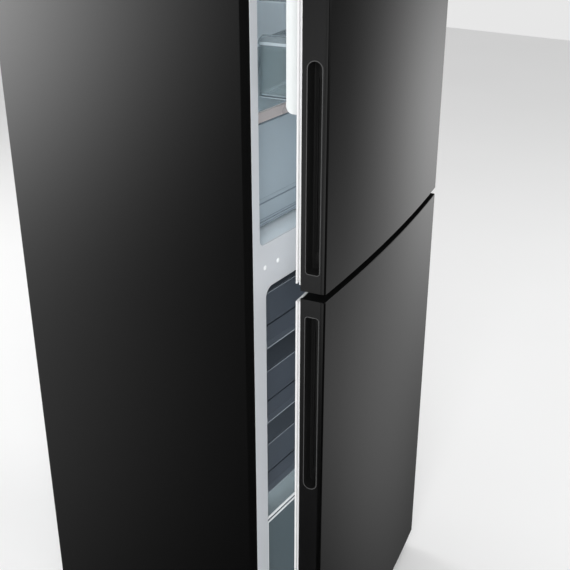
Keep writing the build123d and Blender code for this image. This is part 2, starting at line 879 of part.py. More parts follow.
freezer_shelf_depths = (4, 7, 465)
with BuildPart() as freezer_shelf_glass:
    glass_half = freezer_half - 2
    glass_z = (freezer_glass_low, freezer_glass_low + shelf_glass)
    block((-glass_half, glass_half), freezer_shelf_depths[1:], glass_z)
save(freezer_shelf_glass, "freezer_shelf_glass")

with BuildPart() as freezer_shelf_trim:
    trim_half = freezer_half - 3
    trim_z = (freezer_glass_low, freezer_glass_low + freezer_trim_height)
    block((-trim_half, trim_half), freezer_shelf_depths[:2], trim_z)
save(freezer_shelf_trim, "freezer_shelf_trim")

# ---------------------------------------------------------------- cold side

with BuildPart() as freezer_back_cover:
    cover_half = freezer_half - 1
    block((-cover_half, cover_half), (cover_depth, cover_depth + 2), (step_height + 5, freezer_top - 5.5))
    for vent_z in (380, 410, 860, 890):
        vent_row(0, cover_depth + 1, vent_z, 6, 70, (50, 8))
    disc(facing_back(cover_depth - 5, 0, fan_z), fan_opening, 10, Mode.SUBTRACT)
save(freezer_back_cover, "freezer_back_cover")

fan_depth = cover_depth + 4
hub_radius = 14
shaft_radius = 2
with BuildPart() as fan_blade:
    disc(facing_back(fan_depth, 0, fan_z), hub_radius, 12)
    with BuildSketch(facing_back(fan_depth, 0, fan_z)):
        blade_length = fan_radius - hub_radius + 2
        with PolarLocations(fan_radius - blade_length / 2, 5):
            Rectangle(blade_length, 22)
    extrude(amount=3)
    disc(facing_back(fan_depth - 4, 0, fan_z), shaft_radius + pin_clearance, 20, Mode.SUBTRACT)
save(fan_blade, "fan_blade")

motor_depth = 489
bracket_depth = 505
bracket_z = (fan_z - 8, fan_z + 8)
with BuildPart() as fan_motor:
    disc(facing_back(motor_depth, 0, fan_z), 22, 20)
    disc(facing_back(fan_depth + 1, 0, fan_z), shaft_radius, motor_depth - fan_depth - 1)
    block((-60, 60), (bracket_depth, bracket_depth + 7), bracket_z)
    for side in (-1, 1):
        block(mirrored(side, 50, 60), (bracket_depth, freezer_rear), bracket_z)
save(fan_motor, "fan_motor")

coil_half = 200
with BuildPart() as evaporator_coil:
    for row_z in range(370, 551, 30):
        for row_depth in (492, 516):
            disc(facing_right(-coil_half, row_depth, row_z), 4, 2 * coil_half)
    with Locations((0, front_y + 504, 460)):
        with GridLocations(20, 0, 19, 1):
            Box(1, 44, 210)
save(evaporator_coil, "evaporator_coil")

duct_half = 80
duct_front = 495
duct_wall = 3
duct_z = (1250, 1780)
with BuildPart() as duct_cover:
    block((-duct_half, duct_half), (duct_front, fridge_rear), duct_z)
    fillet(duct_cover.edges().filter_by(Axis.Z).group_by(Axis.Y)[0], 8)
    duct_inner = duct_half - duct_wall - 1
    inner_z = (duct_z[0] + duct_wall, duct_z[1] - duct_wall)
    block((-duct_inner, duct_inner), (duct_front + duct_wall, fridge_rear + 1), inner_z, Mode.SUBTRACT)
    for vent_z in (1340, 1520, 1700):
        vent_row(0, duct_front + 2, vent_z, 1, 90, (90, 5))
save(duct_cover, "duct_cover")

with BuildPart() as lamp_lens:
    block((-60, 60), (180, 240), (throat_top - 7, throat_top))
    fillet(lamp_lens.edges().group_by(Axis.Z)[0], 3)
save(lamp_lens, "lamp_lens")

housing_low = throat_top - 22
spindle_radius = 3
with BuildPart() as thermostat_housing:
    block((-60, 60), (knob_depth - 60, knob_depth + 60), (housing_low, throat_top))
    fillet(thermostat_housing.edges().filter_by(Axis.Z), 8)
    disc(level(housing_low - 1, 0, knob_depth), spindle_radius + pin_clearance, 9, Mode.SUBTRACT)
save(thermostat_housing, "thermostat_housing")

knob_low = housing_low - 12
with BuildPart() as thermostat_knob:
    disc(level(knob_low, 0, knob_depth), 18, 11.7)
    chamfer(thermostat_knob.edges().group_by(Axis.Z)[0], 2)
    disc(level(housing_low - 0.3, 0, knob_depth), spindle_radius, 7)
    with Locations((0, front_y + knob_depth - 13, knob_low)):
        Box(2, 8, 1.5, mode=Mode.SUBTRACT)
save(thermostat_knob, "thermostat_knob")

# ---------------------------------------------------------------- machine compartment

plate_thick = 3
with BuildPart() as compressor:
    with BuildSketch(level(plate_low, compressor_x, compressor_depth)):
        Rectangle(170, 126)
    extrude(amount=plate_thick)
    with BuildSketch(level(plate_low + plate_thick, compressor_x, compressor_depth)):
        Ellipse(78, 60)
    extrude(amount=tray_low - plate_low - plate_thick)
    fillet(compressor.edges().group_by(Axis.Z)[-1], 35)
    terminal_depths = (compressor_depth - 25, compressor_depth + 25)
    block((compressor_x + 60, compressor_x + 95), terminal_depths, (110, 165))
save(compressor, "compressor")

with BuildPart() as compressor_grommets:
    grommet_height = plate_low - flange_bottom
    with Locations((compressor_x, front_y + compressor_depth, flange_bottom + grommet_height / 2)):
        with GridLocations(140, 105, 2, 2):
            Cylinder(10, grommet_height)
save(compressor_grommets, "compressor_grommets")

tray_half = 85
tray_wall = 2
tray_depths = (compressor_depth - 61, compressor_depth + 61)
with BuildPart() as drip_tray:
    block((compressor_x - tray_half, compressor_x + tray_half), tray_depths, (tray_low, tray_low + 26))
    tray_inner = tray_half - tray_wall
    block(
        (compressor_x - tray_inner, compressor_x + tray_inner),
        (tray_depths[0] + tray_wall, tray_depths[1] - tray_wall),
        (tray_low + tray_wall, tray_low + 27),
        Mode.SUBTRACT,
    )
save(drip_tray, "drip_tray")

coil_ends = (20, 240)
coil_low = 75
coil_runs = 10
coil_pitch = 20
coil_radius = 2.5
with BuildPart() as condenser_coil:
    points = []
    for run in range(coil_runs):
        ends = coil_ends if run % 2 == 0 else coil_ends[::-1]
        points += [(end, coil_low + run * coil_pitch) for end in ends]
    with BuildLine(front_plane(500)):
        coil_path = FilletPolyline(*points, radius=8)
    with BuildSketch(Plane(origin=coil_path @ 0, z_dir=coil_path % 0)):
        Circle(coil_radius)
    sweep()
save(condenser_coil, "condenser_coil")

cover_front = 569
with BuildPart() as machine_cover:
    block((-284, 284), (cover_front, cover_front + 2), (60, 288))
    for vent_z in range(150, 251, 25):
        vent_row(0, cover_front + 1, vent_z, 8, 60, (44, 8))
    disc(facing_back(cover_front - 4, inlet_x, inlet_z), inlet_radius, 10, Mode.SUBTRACT)
save(machine_cover, "machine_cover")

with BuildPart() as power_inlet:
    disc(facing_back(cabinet_depth - 20, inlet_x, inlet_z), inlet_radius, 20)
    disc(facing_back(cover_front + 2, inlet_x, inlet_z), inlet_radius + 4, 4)
    disc(facing_back(cabinet_depth - 25, inlet_x, inlet_z), inlet_bore, 30, Mode.SUBTRACT)
save(power_inlet, "power_inlet")
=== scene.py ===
"""Looks of a two-door refrigerator with a freezer below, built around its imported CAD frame.

Metres and +Z up, in the frame of the CAD. The camera stands at the front left and looks down at the free
edges of the two doors, which stand ajar.
"""

import json
import math

import bmesh
import bpy
from mathutils import Matrix, Vector


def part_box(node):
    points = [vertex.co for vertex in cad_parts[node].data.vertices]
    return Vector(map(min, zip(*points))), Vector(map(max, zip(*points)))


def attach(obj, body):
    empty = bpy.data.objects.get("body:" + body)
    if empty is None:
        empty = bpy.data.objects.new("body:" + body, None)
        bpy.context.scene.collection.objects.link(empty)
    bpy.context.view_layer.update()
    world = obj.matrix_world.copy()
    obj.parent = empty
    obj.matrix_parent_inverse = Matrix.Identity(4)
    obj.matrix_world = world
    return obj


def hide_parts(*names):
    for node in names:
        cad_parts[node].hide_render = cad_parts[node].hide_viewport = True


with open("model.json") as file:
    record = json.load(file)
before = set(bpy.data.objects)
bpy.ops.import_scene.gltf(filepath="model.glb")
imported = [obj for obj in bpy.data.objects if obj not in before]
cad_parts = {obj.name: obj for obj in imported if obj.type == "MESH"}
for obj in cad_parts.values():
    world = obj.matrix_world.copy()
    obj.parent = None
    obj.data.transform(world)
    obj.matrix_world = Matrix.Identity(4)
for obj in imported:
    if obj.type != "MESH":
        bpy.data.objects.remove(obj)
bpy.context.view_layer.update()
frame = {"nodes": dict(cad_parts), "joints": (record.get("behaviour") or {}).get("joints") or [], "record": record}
nodes = frame["nodes"]
scene = bpy.context.scene
scene.view_settings.view_transform = "Standard"
mm = 0.001

body_of = {node: body for body, members in frame["record"]["behaviour"]["bodies"].items() for node in members}
slot_of = {subpart["node"]: subpart["material_slot"] for subpart in frame["record"]["subparts"]}
joints = {joint["name"]: joint for joint in frame["joints"]}

# ---------------------------------------------------------------- camera

looks_down = 25.05
looks_right = 56.41

camera_data = bpy.data.cameras.new("camera")
camera_data.sensor_width = 36
camera_data.lens = 61.2
camera = bpy.data.objects.new("camera", camera_data)
scene.collection.objects.link(camera)
camera.location = (-1.5187, -1.0953, 1.650)
camera.rotation_euler = (math.radians(90 - looks_down), 0, math.radians(-looks_right))
scene.camera = camera

# ---------------------------------------------------------------- world

# What the camera sees behind the floor, what lights matt surfaces, and what shines between the soft boxes
backdrop_strength = 1.0
room_strength = 0.85
glow_base = 0.016

# Soft boxes that only glossy surfaces see: compass angle from +Y to +X, height angle, spread, strength
glows = (
    (-34.5, -5, 8, 8.5),
    (-33, -26, 10, 0.6),
    (93, -14, 8, 1.3),
    (105, -31, 8, 0.5),
    (-78, -10, 5, 0.95),
    (-78, -22, 5.5, 1.2),
    (110, 35, 14, 2.5),
    (143, 3, 9, 1.2),
    (175, 3, 9, 0.8),
    (-145, 2, 9, 1.6),
    (30, -10, 12, 1.2),
    (180, 30, 28, 0.5),
    (20, 50, 25, 0.5),
)


def link(tree, source, target):
    tree.links.new(source, target)


def math_node(tree, operation, *values):
    """A Math node whose inputs are numbers or other nodes' outputs."""
    node = tree.nodes.new("ShaderNodeMath")
    node.operation = operation
    for socket, value in zip(node.inputs, values):
        if isinstance(value, (int, float)):
            socket.default_value = value
        else:
            link(tree, value, socket)
    return node.outputs[0]


def background(tree, strength):
    node = tree.nodes.new("ShaderNodeBackground")
    if isinstance(strength, (int, float)):
        node.inputs["Strength"].default_value = strength
    else:
        link(tree, strength, node.inputs["Strength"])
    return node.outputs[0]


def choose(tree, factor, otherwise, chosen):
    node = tree.nodes.new("ShaderNodeMixShader")
    link(tree, factor, node.inputs[0])
    link(tree, otherwise, node.inputs[1])
    link(tree, chosen, node.inputs[2])
    return node.outputs[0]


def light_world():
    """A pale world, which glossy surfaces see as a dark room with soft boxes."""
    world = bpy.data.worlds.new("studio")
    scene.world = world
    world.use_nodes = True
    tree = world.node_tree
    tree.nodes.clear()
    direction = tree.nodes.new("ShaderNodeTexCoord").outputs["Generated"]
    total = glow_base
    for compass, height, spread, strength in glows:
        across = math.cos(math.radians(height))
        turn = math.radians(compass)
        facing = tree.nodes.new("ShaderNodeVectorMath")
        facing.operation = "DOT_PRODUCT"
        link(tree, direction, facing.inputs[0])
        facing.inputs[1].default_value = (
            across * math.sin(turn),
            across * math.cos(turn),
            math.sin(math.radians(height)),
        )
        ahead = math_node(tree, "MAXIMUM", facing.outputs["Value"], 0)
        glow = math_node(tree, "POWER", ahead, 1 / math.radians(spread) ** 2)
        total = math_node(tree, "MULTIPLY_ADD", glow, strength, total)
    rays = tree.nodes.new("ShaderNodeLightPath").outputs
    lit = choose(tree, rays["Is Glossy Ray"], background(tree, room_strength), background(tree, total))
    seen = choose(tree, rays["Is Camera Ray"], lit, background(tree, backdrop_strength))
    link(tree, seen, tree.nodes.new("ShaderNodeOutputWorld").inputs["Surface"])


light_world()

# ---------------------------------------------------------------- lights


def area_light(name, location, target, size, power, colour=(1, 1, 1)):
    """A soft rectangular light that faces a point. The camera and reflections don't see it."""
    data = bpy.data.lights.new(name, "AREA")
    data.shape = "RECTANGLE"
    data.size, data.size_y = size
    data.energy = power
    data.color = colour
    light = bpy.data.objects.new(name, data)
    scene.collection.objects.link(light)
    light.location = location
    light.rotation_euler = (Vector(target) - Vector(location)).to_track_quat("-Z", "Y").to_euler()
    light.visible_camera = False
    light.visible_glossy = False


# Round the refrigerator: name, place, aim, width and height, power
for name, place, aim, size, power in (
    ("key", (-2.6, -1.6, 2.2), (-0.3, -0.2, 1.0), (1.6, 1.6), 57),
    ("fill", (2.5, -2.5, 2.2), (0, 0, 1.0), (2.0, 2.0), 25),
    ("back", (0.5, 3.0, 2.6), (0, 0, 1.0), (2.0, 2.0), 40),
):
    area_light(name, place, aim, size, power)

# ---------------------------------------------------------------- the doors' own frame

hinge = joints["upper_door_hinge"]
hinge_point = Vector((hinge["pos_m"][0], hinge["pos_m"][1], 0))
ajar = math.radians(-hinge["range_deg"][0])
door_frame = Matrix.Translation(hinge_point) @ Matrix.Rotation(ajar, 4, "Z")
to_door = door_frame.inverted()


def door_point(x, y, z):
    """A point in the doors' own frame, where x runs along the door and y toward the cabinet."""
    return door_frame @ Vector((x, y, z))


# ---------------------------------------------------------------- lights inside and in the doors' gap

cool = (0.95, 0.98, 1.0)

# Inside the upper compartment, from its left wall and its roof: name, place, aim, width and height, power
for name, place, aim, size, power in (
    ("fridge_left", (-0.235, -0.02, 1.50), (0.235, -0.02, 1.50), (0.30, 0.50), 1.1),
    ("fridge_roof", (0.0, -0.02, 1.785), (0.0, -0.1, 1.2), (0.40, 0.25), 1.2),
    ("crisper_lamp", (-0.235, -0.02, 1.13), (0.235, -0.02, 1.13), (0.30, 0.14), 0.7),
):
    area_light(name, place, aim, size, power, cool)

# In the doors' gap, just past the gaskets, so that they stay in shade: name, x, z, width, height, power
past_gaskets = 0.036
for name, x, z, width, height, power in (
    ("freezer_mouth", -0.28, 0.5, 0.44, 0.78, 0.8),
    ("fridge_mouth", -0.28, 1.13, 0.44, 0.24, 0.22),
    ("mullion_lamp", -0.44, 0.97, 0.24, 0.05, 0.03),
):
    area_light(name, door_point(x, past_gaskets, z), door_point(x, 1, z), (width, height), power, cool)

# A weak light in the top of each freezer drawer, and a stronger one over the glass shelf above the bottom
# drawer: node, height above its top, power
lamp_setback = 0.12
lamp_size = (0.45, 0.2)
straight_down = Vector((0, 0.001, -1))
for node_name, rise, power in (
    ("freezer_drawer_1", -0.004, 0.1),
    ("freezer_drawer_2", -0.004, 0.12),
    ("freezer_drawer_3", -0.004, 0.12),
    ("bottom_drawer", 0.03, 0.25),
):
    low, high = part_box(node_name)
    above = Vector((0, low.y + lamp_setback, high.z + rise))
    area_light(f"over_{node_name}", above, above + straight_down, lamp_size, power, cool)

# ---------------------------------------------------------------- surfaces

looks = {}
gloss_swing = 0.12
bump_strength = 0.5
mottle_detail = 4
grain_detail = 2


def surface(name, colour, roughness, mottle=(5, 0.04), grain=(700, 0.03), **sockets):
    """Adds a procedural material to looks: a slow change of tone and gloss, and a fine grain of bumps.

    mottle is the patches' scale per metre and how far the tone swings. grain is its scale per metre and its
    depth in millimetres.
    """
    look = bpy.data.materials.new(name)
    look.use_nodes = True
    tree = look.node_tree
    shader = tree.nodes["Principled BSDF"]
    place = tree.nodes.new("ShaderNodeTexCoord").outputs["Object"]

    patches = tree.nodes.new("ShaderNodeTexNoise")
    patches.inputs["Scale"].default_value = mottle[0]
    patches.inputs["Detail"].default_value = mottle_detail
    link(tree, place, patches.inputs["Vector"])
    tone = tree.nodes.new("ShaderNodeMix")
    tone.data_type = "RGBA"
    link(tree, patches.outputs["Fac"], tone.inputs["Factor"])
    tone.inputs["A"].default_value = (*[channel * (1 - mottle[1]) for channel in colour], 1)
    tone.inputs["B"].default_value = (*[min(1, channel * (1 + mottle[1])) for channel in colour], 1)
    link(tree, tone.outputs["Result"], shader.inputs["Base Color"])

    gloss = tree.nodes.new("ShaderNodeMapRange")
    gloss.inputs["To Min"].default_value = roughness * (1 - gloss_swing)
    gloss.inputs["To Max"].default_value = min(1, roughness * (1 + gloss_swing))
    link(tree, patches.outputs["Fac"], gloss.inputs["Value"])
    link(tree, gloss.outputs["Result"], shader.inputs["Roughness"])

    bumps = tree.nodes.new("ShaderNodeTexNoise")
    bumps.inputs["Scale"].default_value = grain[0]
    bumps.inputs["Detail"].default_value = grain_detail
    link(tree, place, bumps.inputs["Vector"])
    relief = tree.nodes.new("ShaderNodeBump")
    relief.inputs["Strength"].default_value = bump_strength
    relief.inputs["Distance"].default_value = grain[1] * mm
    link(tree, bumps.outputs["Fac"], relief.inputs["Height"])
    link(tree, relief.outputs["Normal"], shader.inputs["Normal"])

    for socket, value in sockets.items():
        shader.inputs[socket.replace("_", " ")].default_value = value
    looks[name] = look


# ---------------------------------------------------------------- floor

bpy.ops.mesh.primitive_plane_add(size=14, location=(0, 0, 0))
floor = bpy.context.object
floor.name = "floor"
floor.visible_glossy = False
surface("floor", (0.92, 0.92, 0.92), 0.8, mottle=(1.5, 0.01), grain=(60, 0.2))
floor.data.materials.append(looks["floor"])

# ---------------------------------------------------------------- materials

# Painted and bare steel
surface("black_steel", (0.0012, 0.0012, 0.0012), 0.13, mottle=(3, 0.1), grain=(260, 0.01))
surface("black_door_steel", (0.0012, 0.0012, 0.0012), 0.13, mottle=(3, 0.1), grain=(260, 0.01))
surface("flange_steel", (0.58, 0.595, 0.62), 0.32, mottle=(4, 0.03), grain=(300, 0.02))
surface("zinc_steel", (0.55, 0.56, 0.57), 0.38, mottle=(45, 0.22), Metallic=0.85)
surface("back_sheet", (0.32, 0.33, 0.34), 0.42, mottle=(30, 0.12), Metallic=0.4)
surface("hinge_steel", (0.30, 0.30, 0.31), 0.36, mottle=(60, 0.12), Metallic=0.9)

# Black and grey plastic and rubber
surface("black_plastic", (0.004, 0.004, 0.0042), 0.22, mottle=(9, 0.12), grain=(900, 0.06))
surface("handle_plastic", (0.0095, 0.0095, 0.0095), 0.3, mottle=(20, 0.15), grain=(1200, 0.05))
# The handle's rim, a lighter grey than the pocket: a painted highlight round the slot
surface("handle_rim_highlight", (0.07, 0.07, 0.07), 0.25, mottle=(20, 0.1), grain=(1200, 0.03))
surface("matt_cap", (0.003, 0.003, 0.003), 0.75, mottle=(20, 0.1), grain=(900, 0.05), Specular_IOR_Level=0.06)
surface("compressor_black", (0.010, 0.010, 0.011), 0.3, mottle=(25, 0.2), grain=(500, 0.1))
surface("black_rubber", (0.018, 0.018, 0.018), 0.75, mottle=(60, 0.2), grain=(1200, 0.15))
surface("coil_black", (0.012, 0.012, 0.012), 0.35, mottle=(70, 0.25), grain=(900, 0.08))
surface("grey_plastic", (0.35, 0.36, 0.37), 0.45, mottle=(12, 0.05), grain=(900, 0.08))
surface("foot_plastic", (0.03, 0.03, 0.031), 0.5, mottle=(30, 0.15), grain=(900, 0.1))

# Foam and fins, which are hidden, and the lamp
surface("foam", (0.72, 0.62, 0.40), 0.9, mottle=(60, 0.15), grain=(400, 0.8))
surface("aluminium_fins", (0.72, 0.73, 0.74), 0.3, mottle=(80, 0.08), Metallic=1)
surface(
    "lens_plastic",
    (0.9, 0.92, 0.93),
    0.3,
    mottle=(20, 0.02),
    grain=(150, 0.3),
    Emission_Color=(0.9, 0.96, 1, 1),
    Emission_Strength=0.8,
)

# White plastic and seals
surface("liner_white", (0.76, 0.79, 0.79), 0.24, mottle=(6, 0.02), grain=(150, 0.03))
# A bluer, slightly darker copy of the white liner for the fridge's inside: a painted cool shade
surface("liner_cool_shade", (0.72, 0.78, 0.82), 0.24, mottle=(6, 0.02), grain=(150, 0.03))
surface("white_trim", (0.86, 0.87, 0.88), 0.3, mottle=(15, 0.02), grain=(600, 0.03))
surface("gasket_rubber", (0.76, 0.76, 0.765), 0.5, mottle=(40, 0.03), grain=(800, 0.06))
surface("plug_white", (0.93, 0.94, 0.95), 0.25, mottle=(80, 0.02), grain=(900, 0.02))

# Glass shelves, with a painted highlight on their edges, and their trims
surface("shelf_glass", (0.42, 0.50, 0.53), 0.06, grain=(40, 0.01), Alpha=0.35)
surface("glass_edge_highlight", (0.62, 0.70, 0.72), 0.15, grain=(200, 0.02), Alpha=0.8)
surface("champagne_trim", (0.56, 0.50, 0.49), 0.28, mottle=(10, 0.04), Metallic=0.3)

# Door bins: their walls and rims, and the painted highlight and painted shade lines in their corners
surface("clear_plastic", (0.25, 0.325, 0.35), 0.1, grain=(90, 0.04), Alpha=0.32)
surface("clear_rim", (0.30, 0.36, 0.39), 0.12, grain=(90, 0.04), Alpha=0.4)
surface("clear_painted_highlight", (0.60, 0.68, 0.73), 0.12, grain=(90, 0.04), Alpha=0.7)
surface("clear_painted_shade", (0.07, 0.10, 0.12), 0.12, grain=(90, 0.04), Alpha=0.6)

# The crisper, and the painted shade lines on its edges
surface("crisper_plastic", (0.42, 0.49, 0.54), 0.14, grain=(90, 0.04), Alpha=0.6)
surface("crisper_edge_shade", (0.20, 0.24, 0.28), 0.2, grain=(200, 0.02), Alpha=0.85)

# Freezer drawers: their fronts; their tubs, lightened as painted light; their grooves, darkened as painted shade;
# their edges and lips, with a painted highlight; and the bottom drawer's panel
surface("drawer_plastic", (0.067, 0.08, 0.1), 0.16, grain=(90, 0.05), Alpha=0.78)
surface("drawer_tub_painted_light", (0.15, 0.175, 0.21), 0.2, grain=(90, 0.05), Alpha=0.8)
surface("drawer_groove_shade", (0.02, 0.025, 0.033), 0.3, grain=(90, 0.05), Alpha=0.9)
surface("drawer_edge_highlight", (0.29, 0.325, 0.36), 0.2, grain=(200, 0.02), Alpha=0.85)
surface("bottom_panel", (0.105, 0.135, 0.15), 0.16, mottle=(4, 0.12), grain=(90, 0.05), Alpha=0.85)

for name, node in nodes.items():
    node.data.materials.clear()
    node.data.materials.append(looks[slot_of[name]])

# ---------------------------------------------------------------- mesh helpers

# A distance in millimetres, and angles in degrees
weld_gap = 0.01
flat_angle = 0.3
fold_angle = 32


def settle(piece, node_name, replaced=True, look=None, more_looks=()):
    """Gives a new piece its materials and slot, and lets it ride where a CAD node does."""
    slot = slot_of[node_name]
    for name in (look or slot, *more_looks):
        piece.data.materials.append(looks[name])
    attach(piece, body_of[node_name])
    if replaced:
        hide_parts(node_name)


def add_object(name, form, sharp_angle=fold_angle):
    """An object made from a bmesh, turned outward and smooth but for edges sharper than the angle."""
    bmesh.ops.recalc_face_normals(form, faces=form.faces)
    mesh = bpy.data.meshes.new(name)
    form.to_mesh(mesh)
    form.free()
    mesh.polygons.foreach_set("use_smooth", [True] * len(mesh.polygons))
    mesh.set_sharp_from_angle(angle=math.radians(sharp_angle))
    piece = bpy.data.objects.new(name, mesh)
    scene.collection.objects.link(piece)
    return piece


def welded(node_name):
    """A CAD node's mesh with its split corners joined and its flat faces whole."""
    form = bmesh.new()
    form.from_mesh(nodes[node_name].data)
    bmesh.ops.remove_doubles(form, verts=form.verts, dist=weld_gap * mm)
    bmesh.ops.dissolve_limit(form, angle_limit=math.radians(flat_angle), verts=form.verts, edges=form.edges)
    return form


def rounded(corners, radii, steps):
    """The points of a closed outline whose corners are rounded, each by its own radius.

    Square corners become true arcs, and the others nearly so.
    """
    points = []
    for index, radius in enumerate(radii):
        corner = Vector(corners[index])
        before = (Vector(corners[index - 1]) - corner).normalized()
        after = (Vector(corners[(index + 1) % len(corners)]) - corner).normalized()
        centre = corner + radius * (before + after)
        for step in range(steps + 1):
            turn = math.radians(90) * step / steps
            points.append(centre - radius * (after * math.cos(turn) + before * math.sin(turn)))
    return points


def rectangle(low, high, radius, steps):
    """A rectangle's outline with equal round corners."""
    corners = ((low[0], low[1]), (high[0], low[1]), (high[0], high[1]), (low[0], high[1]))
    return rounded(corners, [radius] * 4, steps)


def add_loft(form, rings, closed=False, bands=()):
    """Joins rings of points, each as long as the next, and closes both ends or joins the last to the first.

    The bands, one for each ring, are the material indices of the faces that follow it.
    """
    loops = [[form.verts.new(point) for point in ring] for ring in rings]
    pairs = list(zip(loops, loops[1:]))
    if closed:
        pairs.append((loops[-1], loops[0]))
    for step, (ring, following) in enumerate(pairs):
        count = len(ring)
        for index in range(count):
            after = (index + 1) % count
            face = form.faces.new((ring[index], ring[after], following[after], following[index]))
            face.material_index = bands[step] if bands else 0
    if not closed:
        form.faces.new(loops[0][::-1])
        form.faces.new(loops[-1])


# ---------------------------------------------------------------- measures


def spans(points):
    """The lowest and highest corners of the box round some points."""
    low = Vector([min(point[axis] for point in points) for axis in range(3)])
    high = Vector([max(point[axis] for point in points) for axis in range(3)])
    return low, high


def door_box(node_name):
    """A node's lowest and highest corners in the doors' own frame."""
    return spans([to_door @ vertex.co for vertex in nodes[node_name].data.vertices])


def door_solids(node_name):
    """The same for each separate solid of a node, from the lowest up."""
    form = welded(node_name)
    unseen = set(form.verts)
    boxes = []
    while unseen:
        to_visit = [unseen.pop()]
        found = []
        while to_visit:
            vertex = to_visit.pop()
            found.append(to_door @ vertex.co)
            for edge in vertex.link_edges:
                other = edge.other_vert(vertex)
                if other in unseen:
                    unseen.remove(other)
                    to_visit.append(other)
        boxes.append(spans(found))
    form.free()
    return sorted(boxes, key=lambda box: box[0].z)


# ---------------------------------------------------------------- gaskets

# Across the gasket, in millimetres: distance in from its outer edge, height off the door, corner's radius
gasket_section = (
    (0, 0, 1.2),
    (0, 4.2, 1.2),
    (5.5, 4.5, 0.4),
    (5.5, 7, 0.4),
    (0.8, 7.2, 1.2),
    (0.8, 10.8, 1.4),
    (7.5, 11, 1.5),
    (8.5, 14, 1.2),
    (13.5, 14, 1.2),
    (13.5, 6, 1.2),
    (11.5, 4.6, 0.5),
    (15, 4.2, 1.2),
    (15, 0, 1.2),
)
seal_steps = 3

# How far the seals stand back from the gap between the doors, and still close on the mullion
upper_seal_rise = 6
lower_seal_drop = 4.5


def make_gasket(door, below, above):
    """A ring of soft seal: a base, a narrow neck and a rounded magnet bulb.

    Its lower and upper ends may lie some millimetres inside the CAD ring's.
    """
    node_name = f"{door}_door_gasket"
    low, high = door_box(node_name)
    low.z += below * mm
    high.z -= above * mm
    corners = [(inset, rise) for inset, rise, radius in gasket_section]
    radii = [radius for inset, rise, radius in gasket_section]
    outline = rounded(corners, radii, seal_steps)
    rings = []
    for from_right, from_top in ((0, 0), (1, 0), (1, 1), (0, 1)):
        ring = []
        for inset, rise in outline:
            x = high.x - inset * mm if from_right else low.x + inset * mm
            z = high.z - inset * mm if from_top else low.z + inset * mm
            ring.append(door_point(x, low.y + rise * mm, z))
        rings.append(ring)
    form = bmesh.new()
    add_loft(form, rings, closed=True)
    settle(add_object(f"{node_name}_seal", form), node_name)


make_gasket("upper", upper_seal_rise, 0)
make_gasket("lower", 0, lower_seal_drop)

# ---------------------------------------------------------------- pocket handles

slot_corner = 5
slot_rim = 1.5
slot_steps = 8
rim_proud = 0.4
pocket_floor = 1.5

# The round end's radius as a part of the slot's width: just under half, so that its two arcs don't touch
round_end = 0.4995

# The ribs on the pocket's floor: their number, spacing, distance from the pocket's ends, half widths at the
# ends and along the middle, the length of the slope between, and their corners' radius
rib_count = 3
rib_pitch = 5
rib_inset = 30
rib_tip = 0.4
rib_half = 1.2
rib_slope = 4
rib_corner = 0.3
rib_steps = 2


def slot_outline(low, high, grow, toward_gap):
    """The slot's outline, grown by some millimetres: round at one end, nearly square toward the gap."""
    y_low, y_high = low.y + (slot_rim - grow) * mm, high.y - (slot_rim - grow) * mm
    z_low, z_high = low.z + (slot_rim - grow) * mm, high.z - (slot_rim - grow) * mm
    corners = ((y_low, z_low), (y_high, z_low), (y_high, z_high), (y_low, z_high))
    tight = (slot_corner + grow) * mm
    wide = round_end * (y_high - y_low)
    radii = (tight, tight, wide, wide) if toward_gap < 0 else (wide, wide, tight, tight)
    return rounded(corners, radii, slot_steps)


def make_handle(door, toward_gap):
    """The handle's moulded pocket, with a thin raised rim in a lighter grey as a painted highlight, and long grip
    ribs on its floor.
    """
    node_name = f"{door}_door_handle"
    low, high = door_box(node_name)
    face = low.x + rim_proud * mm
    # How far each ring stands out from the slot's opening, and where it lies: up the outside of the rim, over
    # it, and down into the pocket
    depths = (
        (slot_rim, high.x),
        (slot_rim, face),
        (slot_rim - 0.2, low.x + 0.1 * mm),
        (slot_rim - 0.5, low.x),
        (0.4, low.x),
        (0.1, low.x + 0.1 * mm),
        (0, face),
        (0, high.x - 4 * mm),
        (-0.6, high.x - 2.4 * mm),
        (-2, high.x - pocket_floor * mm),
    )
    # The first rings, over the rim, take the rim's lighter grey: a painted highlight
    rim_rings = 6
    rings = []
    for grow, x in depths:
        ring = slot_outline(low, high, grow, toward_gap)
        rings.append([door_point(x, y, z) for y, z in ring])
    form = bmesh.new()
    add_loft(form, rings, bands=[1 if ring < rim_rings else 0 for ring in range(len(rings))])
    settle(add_object(f"{node_name}_pocket", form), node_name, more_looks=["handle_rim_highlight"])

    ribs = bmesh.new()
    rib_low = low.z + rib_inset * mm
    rib_high = high.z - rib_inset * mm
    floor_x = high.x - pocket_floor * mm
    sections = (
        (rib_tip, rib_low),
        (rib_half, rib_low + rib_slope * mm),
        (rib_half, rib_high - rib_slope * mm),
        (rib_tip, rib_high),
    )
    for rib in range(rib_count):
        middle = (low.y + high.y) / 2 + (rib - (rib_count - 1) / 2) * rib_pitch * mm
        rings = []
        for half, z in sections:
            low_corner = (floor_x - 2 * half * mm, middle - half * mm)
            high_corner = (floor_x, middle + half * mm)
            outline = rectangle(low_corner, high_corner, rib_corner * mm, rib_steps)
            rings.append([door_point(x, y, z) for x, y in outline])
        add_loft(ribs, rings)
    settle(add_object(f"{node_name}_ribs", ribs), node_name, replaced=False)


make_handle("upper", -1)
make_handle("lower", 1)

# ---------------------------------------------------------------- door bins

bin_corner = 14
bin_slope = 14
bin_rim = 17
bin_steps = 6

# The looks of a bin's corners, which its bands count from one: a painted highlight line and a painted shade line
bin_highlight_and_shade_lines = ("clear_painted_highlight", "clear_painted_shade")

# Up the outside of a bin and down its inside: distance in from the rim, and height above the bin's floor
wall_section = ((5, 0), (3, 0.5), (2.2, 2), (2, 5), (2, 84.5), (4.5, 84.5), (4.5, 6), (5, 4), (7, 2.5))
wall_bands = (1, 1, 2, 0, 0, 0, 1, 1, 1)

